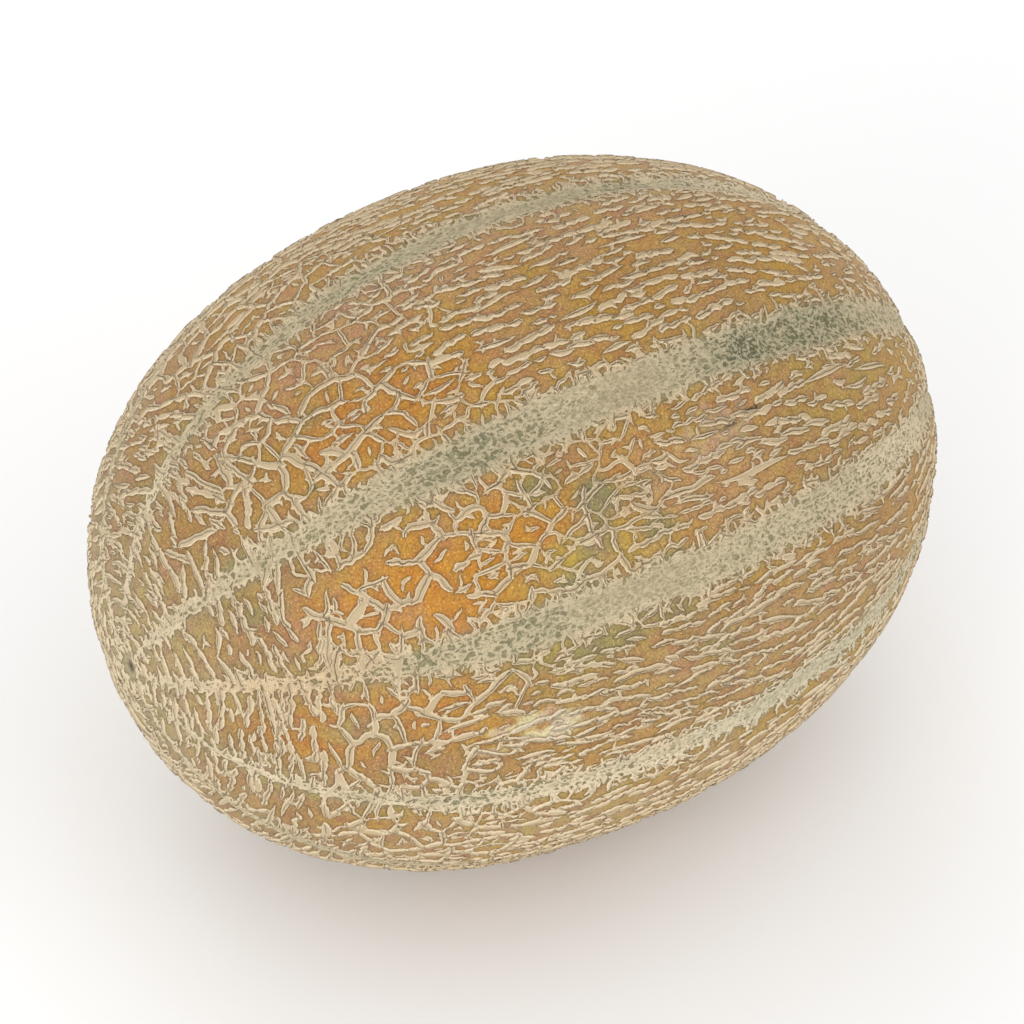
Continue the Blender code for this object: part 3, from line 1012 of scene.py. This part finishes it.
# Marks over skin and cork alike, listed the same way: scuffs, a scratch and a knot.
MARKS = (
    (101, 43.0, 5.0, 4.5, SCUFFED, 0.65),
    (70.6, 79.6, 2.8, 1.8, WHITISH, 0.80),
    (74.2, 81.2, 2.8, 1.8, WHITISH, 0.80),
    (72.0, 83.2, 4.8, 1.4, WHITISH, 0.80),
    (67.0, 80.6, 3.4, 1.1, WHITISH, 0.70),
    (64.0, 84.6, 3.0, 1.0, WHITISH, 0.45),
    (107.2, 41.4, 1.6, 0.50, DARK_BROWN, 1.0),
    (103.4, 42.6, 1.6, 0.35, DARK_BROWN, 0.7),
    (51.8, 22.2, 1.2, 0.9, MOSS, 0.8),
)
# Patches of colour on the cork alone, listed the same way.
CORK_STAINS = (
    (36, 63, 20, 6, WARM_CREAM, 0.5),
    (80, 98, 40, 6, PALE_CREAM, 0.8),
    (112, 98, 26, 7, SAGE_CREAM, 0.8),
    (30, 96, 12, 7, PALE_CREAM, 0.7),
    (27, -13, 10, 6, PALE_CREAM, 0.6),
    (72, 81.5, 6, 4, WHITISH, 0.9),
    (134, 63, 14, 6, PALE_CREAM, 0.6),
    (130, -14, 14, 6, PALE_CREAM, 0.7),
    (0, 0, 30, 400, PALE_CREAM, 0.5),
)


def blend(colours, colour, weight):
    return colours + (colour - colours) * np.clip(weight, 0.0, 1.0)[:, None]


def layered(colours, *layers):
    """The colours with each layer, a (pigment, weight), laid over them in turn."""
    for colour, weight in layers:
        colours = blend(colours, colour, weight)
    return colours


def painted(patch, colours, listed, ragged):
    """The colours with each listed patch laid over them, its outline as ragged as this."""
    for at_polar, at_angle, half_along, half_round, colour, strength in listed:
        near = np.hypot(*patch.near(at_polar, at_angle, half_along, half_round))
        near += ragged * min(1.0, half_round / 3.0)
        colours = blend(colours, colour, strength * (1.0 - steps(near, 0.4, 1.4)))
    return blend(colours, DARK_BROWN, patch.at_blossom * bell(patch.girth, 0.0, 1.1 * MM))


def ground_colours(skin):
    """The smooth skin between the welts."""
    patch, place = skin.patch, skin.patch.place

    def clouds(size, seed, low, high):
        return steps(noise(place, size * MM, seed), low, high)

    colours = layered(
        np.tile(GOLD, (len(place), 1)),
        (TAN, 0.65 * clouds(12, 53, -0.1, 0.8)),
        (ROSE, 0.35 * clouds(10, 56, 0.0, 0.7)),
    )
    ragged = 0.35 * noise(place, 7 * MM, 51) + 0.25 * noise(place, 3 * MM, 52)
    colours = painted(patch, colours, STAINS, ragged)
    suture_side = bell(patch.turn * patch.girth, 0.0, 5.5 * MM)
    colours = layered(
        colours,
        (TAN, 0.30 * clouds(6, 54, 0.1, 0.8)),
        (ROSE, 0.45 * clouds(5, 57, 0.1, 0.8)),
        (SAGE, 0.45 * suture_side + 0.8 * skin.band),
        (DEEP_GREEN, 0.30 * skin.band + 0.8 * skin.dark),
    )
    return painted(patch, colours, MARKS, 0.8 * noise(place, 1.8 * MM, 55))


def cork_colours(skin, ground):
    """The welts and the sutures' cork."""
    patch, place, girth = skin.patch, skin.patch.place, skin.patch.girth
    tinted = 0.10 + 0.13 * steps(patch.degrees, 50, 100)
    colours = layered(
        np.tile(CREAM, (len(place), 1)),
        (PALE_CREAM, 0.5 * skin.net.tone),
        (ROSE, 0.14 * steps(noise(place, 8 * MM, 61), -0.2, 0.8)),
        (ground, tinted + 0.30 * patch.fineness()),
        (GREY_CREAM, 0.9 * skin.band),
        (SAGE, 0.45 * skin.dark),
    )
    colours = painted(patch, colours, CORK_STAINS, 0.3 * noise(place, 5 * MM, 62))
    in_stem_scar = skin.scar * patch.at_stem
    pits = bell(girth, 0.5 * STEM_SCAR_RADIUS, 0.7 * MM) * steps(np.cos(9.0 * patch.angle), 0.2, 0.8)
    wall = bell(girth, 0.90 * STEM_SCAR_RADIUS, 0.7 * MM) * patch.at_stem
    colours = layered(
        colours,
        (PALE_CREAM, 0.8 * bell(girth, 1.15 * STEM_SCAR_RADIUS, 1.2 * MM) * patch.at_stem),
        (SCAR_BROWN, 0.8 * in_stem_scar),
        (DARK_BROWN, 0.7 * pits * in_stem_scar + 0.7 * wall),
    )
    return painted(patch, colours, MARKS, 0.8 * noise(place, 1.8 * MM, 55))


# ------------------------------------------------------------------ meshes
def patch_faces(skin):
    """The patch's faces, each square cut along the diagonal that follows the relief."""
    rows, columns = skin.patch.shape
    a = (np.arange(rows - 1)[:, None] * columns + np.arange(columns - 1)).reshape(-1)
    b, c, d = a + 1, a + columns + 1, a + columns
    along_ac = np.abs(skin.rise[a] - skin.rise[c]) < np.abs(skin.rise[b] - skin.rise[d])
    first = np.where(along_ac[:, None], np.stack([a, b, c], 1), np.stack([a, b, d], 1))
    second = np.where(along_ac[:, None], np.stack([a, c, d], 1), np.stack([b, c, d], 1))
    return np.concatenate([first, second])


def vertex_normals(places, faces):
    corners = places[faces]
    facing = np.cross(corners[:, 1] - corners[:, 0], corners[:, 2] - corners[:, 0])
    normals = np.zeros_like(places)
    for corner in range(3):
        for axis in range(3):
            normals[:, axis] += np.bincount(faces[:, corner], facing[:, axis], len(places))
    return normals


def border_of(rows, columns):
    index = np.arange(rows * columns).reshape(rows, columns)
    return np.unique(np.concatenate([index[0], index[-1], index[:, 0], index[:, -1]]))


def join_borders(skins, normals):
    """Gives the vertices that patches share one place and one normal."""
    borders = [border_of(*skin.patch.shape) for skin in skins]
    smooth = np.concatenate([skin.patch.place[border] for skin, border in zip(skins, borders)])
    shared = np.unique(np.round(smooth / (0.001 * MM)), axis=0, return_inverse=True)[1].reshape(-1)
    count = np.bincount(shared)
    for table in ([skin.place for skin in skins], normals):
        values = np.concatenate([rows[border] for rows, border in zip(table, borders)])
        mean = np.stack([np.bincount(shared, column) / count for column in values.T], 1)[shared]
        begin = 0
        for rows, border in zip(table, borders):
            rows[border] = mean[begin : begin + len(border)]
            begin += len(border)


def build_patch(skin, faces, normals, material):
    rows, columns = skin.patch.shape
    mesh = bpy.data.meshes.new(skin.patch.name)
    mesh.vertices.add(len(skin.place))
    mesh.vertices.foreach_set("co", skin.place.astype(np.float32).ravel())
    mesh.loops.add(faces.size)
    mesh.loops.foreach_set("vertex_index", faces.astype(np.int32).ravel())
    mesh.polygons.add(len(faces))
    mesh.polygons.foreach_set("loop_start", np.arange(0, faces.size, 3, dtype=np.int32))
    mesh.update(calc_edges=True)
    mesh.shade_smooth()
    lengths = np.maximum(np.linalg.norm(normals, axis=1, keepdims=True), 1e-20)
    mesh.normals_split_custom_set_from_vertices((normals / lengths).astype(np.float32))
    grid = np.stack(np.meshgrid(np.linspace(0, 1, columns), np.linspace(0, 1, rows)), -1).reshape(-1, 2)
    layer = mesh.uv_layers.new(name="OFBake")
    layer.uv.foreach_set("vector", grid[faces.ravel()].astype(np.float32).ravel())
    ground = ground_colours(skin)
    for name, colours in (("ground", ground), ("cork", cork_colours(skin, ground))):
        opaque = np.hstack([colours, np.ones((len(colours), 1))]).astype(np.float32)
        mesh.attributes.new(name, "FLOAT_COLOR", "POINT").data.foreach_set("color", opaque.ravel())
    carried = {name: getattr(skin.net, name) / MM for name in ("edge", "midline", "half_width")}
    carried["crack"] = skin.net.crack
    carried |= {name: getattr(skin, name) for name in ("band", "dark", "smooth", "sponge")}
    for name, values in carried.items():
        mesh.attributes.new(name, "FLOAT", "POINT").data.foreach_set("value", values.astype(np.float32))
    mesh.materials.append(material)
    piece = bpy.data.objects.new(skin.patch.name, mesh)
    bpy.context.scene.collection.objects.link(piece)
    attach(piece, "root")
    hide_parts("melon")


# ------------------------------------------------------------------ materials
class Value:
    """What a node of a material gives out. + - * and abs() put in further nodes."""

    def __init__(self, nodes, socket):
        self.nodes, self.socket = nodes, socket

    def __add__(self, other):
        return self.nodes.math("ADD", self, other)

    def __sub__(self, other):
        return self.nodes.math("SUBTRACT", self, other)

    def __rsub__(self, other):
        return self.nodes.math("SUBTRACT", other, self)

    def __mul__(self, other):
        return self.nodes.math("MULTIPLY", self, other)

    def __abs__(self):
        return self.nodes.math("ABSOLUTE", self)


class Nodes:
    """Short names for adding nodes to a material."""

    def __init__(self, name):
        self.material = bpy.data.materials.new(name)
        self.material.use_nodes = True
        self.tree = self.material.node_tree
        self.shader = self.tree.nodes["Principled BSDF"]

    @functools.cached_property
    def place(self):
        return self.add("TexCoord", "Object", {})

    def put(self, socket, value):
        if isinstance(value, Value):
            self.tree.links.new(value.socket, socket)
        else:
            socket.default_value = value

    def add(self, kind, output, given, **settings):
        """A new node with these settings and with these values in its inputs."""
        node = self.tree.nodes.new("ShaderNode" + kind)
        for name, value in settings.items():
            setattr(node, name, value)
        for name, value in given.items():
            self.put(node.inputs[name], value)
        return Value(self, node.outputs[output])

    def attribute(self, name, output="Fac"):
        return self.add("Attribute", output, {}, attribute_name=name)

    def math(self, operation, *values):
        return self.add("Math", 0, dict(enumerate(values)), operation=operation)

    def ramp(self, *values):
        """A smooth rise or fall of a value: between two limits, from 0 to 1 or between two results."""
        return self.add("MapRange", 0, dict(enumerate(values)), interpolation_type="SMOOTHSTEP")

    def blend(self, share, first, second):
        return self.add("Mix", 0, {0: share, 2: first, 3: second}, data_type="FLOAT")

    def mix(self, share, first, second, blend_type="MIX"):
        """Colours mixed. Sockets 0, 6, 7 and 2 of the node are the ones for colours."""
        given = {0: share, 6: first, 7: second}
        return self.add("Mix", 2, given, data_type="RGBA", blend_type=blend_type)

    def ink(self, share, colour, *screen):
        """The colour, with this share of a pigment over it."""
        return self.mix(share, colour, (*pigment(*screen), 1.0))

    def tint(self, share, colour, factors):
        """The colour, with this share of it multiplied by three factors."""
        return self.mix(share, colour, (*factors, 1.0), "MULTIPLY")

    def noise(self, size, detail=2.0, roughness=0.5, longer=1.0):
        """Noise whose lumps are about this size, and this many times longer along the fruit."""
        given = {0: self.place, 1: (1.0 / longer, 1.0, 1.0)}
        squeezed = self.add("VectorMath", 0, given, operation="MULTIPLY")
        given = {"Vector": squeezed, "Scale": 1.0 / size, "Detail": detail, "Roughness": roughness}
        return self.add("TexNoise", "Fac", given)

    def dots(self, size):
        """Distance to the nearest of points scattered about this far apart, as a share of it."""
        return self.add("TexVoronoi", "Distance", {"Vector": self.place, "Scale": 1.0 / size})


def skin_colour(n, ribs, frayed, fine, grain, blotch):
    """The skin between the welts, with its mottles and with painted shade beside them."""

    def mottled_and_shaded(colour, *tints):
        for share, factors in tints:
            colour = n.tint(share * ribs, colour, factors)
        return colour

    hue = n.noise(3.5 * MM)
    skin = mottled_and_shaded(
        n.attribute("ground", "Color"),
        (n.ramp(hue, 0.42, 0.62), (1.03, 1.12, 0.88)),
        (n.ramp(hue, 0.46, 0.30), (1.00, 0.90, 0.94)),
        (n.ramp(blotch, 0.44, 0.66, 0.0, 0.5), (0.74, 0.68, 0.62)),
        (n.ramp(grain, 0.54, 0.36, 0.0, 0.7), (1.24, 1.26, 1.22)),
        (n.ramp(grain, 0.50, 0.66, 0.0, 0.7), (0.62, 0.55, 0.42)),
        (n.ramp(fine, 0.48, 0.66, 0.0, 0.55), (0.66, 0.64, 0.56)),
    )
    return mottled_and_shaded(
        n.ink(n.ramp(n.dots(0.7 * MM), 0.32, 0.12, 0.0, 0.45) * ribs, skin, 222, 190, 128),
        # Painted shade: a broad darkening of the skin beside each welt, and a thin dark outline at its foot
        # that is partly a dark border and partly painted shade.
        (n.ramp(frayed, 0.62, 0.10, 0.0, 0.9), (0.66, 0.67, 0.68)),
        (n.ramp(frayed, 0.22, 0.02, 0.0, 0.60), (0.50, 0.48, 0.46)),
    )


def rind_material():
    n = Nodes("netted_rind")
    # Close to a welt the distance from its midline, less its half width, is exact within a face too.
    edge, midline, half_width = (n.attribute(name) for name in ("edge", "midline", "half_width"))
    edge = n.blend(n.ramp(edge, 0.12, 0.28), abs(midline) - half_width, edge)
    smooth, band, dark = (n.attribute(name) for name in ("smooth", "band", "dark"))
    frayed = edge + (n.noise(0.45 * MM, 3.0, 0.6) - 0.5) * (band * 0.55 + 0.20)
    fine, grain = n.noise(0.22 * MM, 2.0, 0.6), n.noise(0.42 * MM, 3.0, 0.6)
    blotch = n.noise(1.3 * MM, 3.0, 0.6)
    ground = skin_colour(n, 1.0 - band * 0.65, frayed, fine, grain, blotch)

    # A welt has pale lips, partly its cork's colour and partly a painted highlight on its edges, a darker
    # middle and a crack along its midline.
    wide = n.ramp(half_width, 0.20, 0.36)
    lip_and_highlight = n.ramp(frayed, -0.26, -0.15) * wide * n.blend(band, 0.75, 0.40)
    core = n.ramp(frayed, -0.19, -0.31) * wide
    cork = n.ink(lip_and_highlight, n.attribute("cork", "Color"), 228, 210, 178)
    cork = n.ink(core * 0.45, cork, 164, 148, 116)
    cork = n.ink(n.ramp(fine, 0.46, 0.68, 0.0, 0.32), cork, 144, 122, 88)
    wobble = (n.noise(0.9 * MM) - 0.5) * 0.50
    line = n.ramp(abs(midline + wobble), 0.17, 0.05) * wide
    crack = line * n.ramp(n.noise(2.2 * MM, 1.0), 0.24, 0.40) * n.attribute("crack")
    cork = n.ink(crack * 0.90, cork, 88, 70, 46)

    # The sutures' spongy cork, full of small pits: few where it is smooth, many where it is dark.
    pitting = n.attribute("sponge") * 0.09 + n.noise(0.80 * MM, 3.0, 0.68, 1.7)
    covering = band * 0.23 + smooth * 0.27 + pitting - dark * 0.17
    covered = n.ramp(covering + (n.noise(4.0 * MM) - 0.5) * 0.30, 0.70, 0.90)
    flat_cork = n.tint(n.ramp(blotch, 0.38, 0.62), n.attribute("cork", "Color"), (0.74, 0.75, 0.68))
    flat_cork = n.tint(smooth * 0.7, flat_cork, (0.73, 0.69, 0.66))
    fibres, quiet = n.noise(0.40 * MM, 3.0, 0.68, 1.8), n.blend(smooth, 1.0, 0.65)
    flat_cork = n.ink(n.ramp(fibres, 0.50, 0.62, 0.0, 0.80) * quiet, flat_cork, 118, 108, 80)
    flat_cork = n.ink(n.ramp(fibres, 0.46, 0.36, 0.0, 0.75) * quiet, flat_cork, 212, 196, 166)

    is_cork = n.ramp(frayed * n.blend(band, 1.0, 0.40), 0.05, -0.07)
    colour = n.mix(covered * 0.85, n.mix(is_cork, ground, cork), flat_cork)
    clumped = n.noise(0.60 * MM, 2.0, 0.55) + n.noise(2.4 * MM, 1.0) * 0.35
    colour = n.ink(n.ramp(clumped, 0.68, 0.76, 0.0, 0.80) * dark, colour, 174, 168, 138)
    colour = n.tint(n.ramp(clumped, 0.64, 0.54, 0.0, 0.9) * dark, colour, (0.62, 0.66, 0.66))

    relief = n.ramp(frayed, 0.10, -0.14) + grain * 0.6 - core * 0.6 - crack * 1.2
    relief = n.blend(covered * 0.8, relief, pitting * 1.2)
    n.put(n.shader.inputs["Base Color"], colour)
    n.put(n.shader.inputs["Roughness"], n.blend(band, n.ramp(frayed, 0.1, -0.1, 0.52, 0.85), 0.8))
    bump = n.add("Bump", "Normal", {"Distance": 0.12 * MM, "Strength": 0.7, "Height": relief})
    n.put(n.shader.inputs["Normal"], bump)
    n.shader.inputs["Specular IOR Level"].default_value = 0.35
    return n.material


def floor_material():
    n = Nodes("pale_floor")
    n.shader.inputs["Base Color"].default_value = (0.93, 0.93, 0.93, 1.0)
    n.shader.inputs["Roughness"].default_value = 0.9
    return n.material


# ------------------------------------------------------------------ the studio
CAMERA_AZIMUTH, CAMERA_ELEVATION = math.radians(-30.6), math.radians(43.7)
CAMERA_DISTANCE, LENS, SENSOR = 1.2753, 0.2285, 0.036
# The fruit sits a little right of and above the middle of the picture.
FRUIT_RIGHT, FRUIT_UP = 1.33 * MM, 0.82 * MM
# The lights, all turned to the fruit's middle: name, place, size and power.
LIGHTS = (
    ("key", (-0.95, -0.60, 0.45), 0.8, 5.0),
    ("fill", (0.55, -0.95, 0.40), 0.8, 2.5),
    ("rear", (0.2, 0.9, 0.8), 0.9, 2.0),
)
FLOOR_SIDE, FLOOR_DROP = 6.0, 0.02 * MM


def add_aimed(data, place, turn):
    """Adds a camera or a light here, turned like this."""
    aimed = bpy.data.objects.new(data.name, data)
    aimed.location = place
    aimed.rotation_mode = "QUATERNION"
    aimed.rotation_quaternion = turn
    bpy.context.scene.collection.objects.link(aimed)
    return aimed


def add_camera(middle):
    across = math.cos(CAMERA_ELEVATION)
    x, y = math.sin(CAMERA_AZIMUTH) * across, -math.cos(CAMERA_AZIMUTH) * across
    back = Vector((x, y, math.sin(CAMERA_ELEVATION)))
    turn = (-back).to_track_quat("-Z", "Y")
    data = bpy.data.cameras.new("camera")
    data.lens, data.sensor_width = LENS / MM, SENSOR / MM
    aim = middle - turn @ Vector((FRUIT_RIGHT, FRUIT_UP, 0.0))
    bpy.context.scene.camera = add_aimed(data, aim + back * CAMERA_DISTANCE, turn)


def add_light(middle, name, place, size, power):
    data = bpy.data.lights.new(name, "AREA")
    data.size, data.energy = size, power
    add_aimed(data, place, (middle - Vector(place)).to_track_quat("-Z", "Y"))


def add_studio(body):
    middle = Vector((0.0, 0.0, body.axis_height))
    add_camera(middle)
    mesh = bpy.data.meshes.new("floor")
    half = FLOOR_SIDE / 2
    corners = [(-half, -half, 0), (half, -half, 0), (half, half, 0), (-half, half, 0)]
    mesh.from_pydata(corners, [], [(0, 1, 2, 3)])
    mesh.materials.append(floor_material())
    floor = bpy.data.objects.new("floor", mesh)
    floor.location.z = -FLOOR_DROP
    bpy.context.scene.collection.objects.link(floor)
    for light in LIGHTS:
        add_light(middle, *light)
    world = bpy.data.worlds.new("studio")
    world.use_nodes = True
    background = world.node_tree.nodes["Background"].inputs
    background["Color"].default_value = (1.0, 1.0, 1.0, 1.0)
    background["Strength"].default_value = 0.92
    bpy.context.scene.world = world
    bpy.context.scene.view_settings.view_transform = "Standard"


def main():
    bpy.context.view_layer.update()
    body = Body(*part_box("melon"))
    add_studio(body)
    segments = grow_net(body, np.random.default_rng(SEED)).segments()
    skins = [Skin(patch, segments) for patch in make_patches(body)]
    faces = [patch_faces(skin) for skin in skins]
    normals = [vertex_normals(skin.place, skin_faces) for skin, skin_faces in zip(skins, faces)]
    join_borders(skins, normals)
    material = rind_material()
    for each in zip(skins, faces, normals):
        build_patch(*each, material)


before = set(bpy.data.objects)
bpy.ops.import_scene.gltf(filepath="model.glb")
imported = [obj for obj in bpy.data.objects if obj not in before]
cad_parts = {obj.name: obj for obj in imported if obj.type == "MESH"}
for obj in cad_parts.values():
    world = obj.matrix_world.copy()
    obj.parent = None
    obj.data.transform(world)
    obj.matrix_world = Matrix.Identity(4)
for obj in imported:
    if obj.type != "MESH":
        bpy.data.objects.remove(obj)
main()
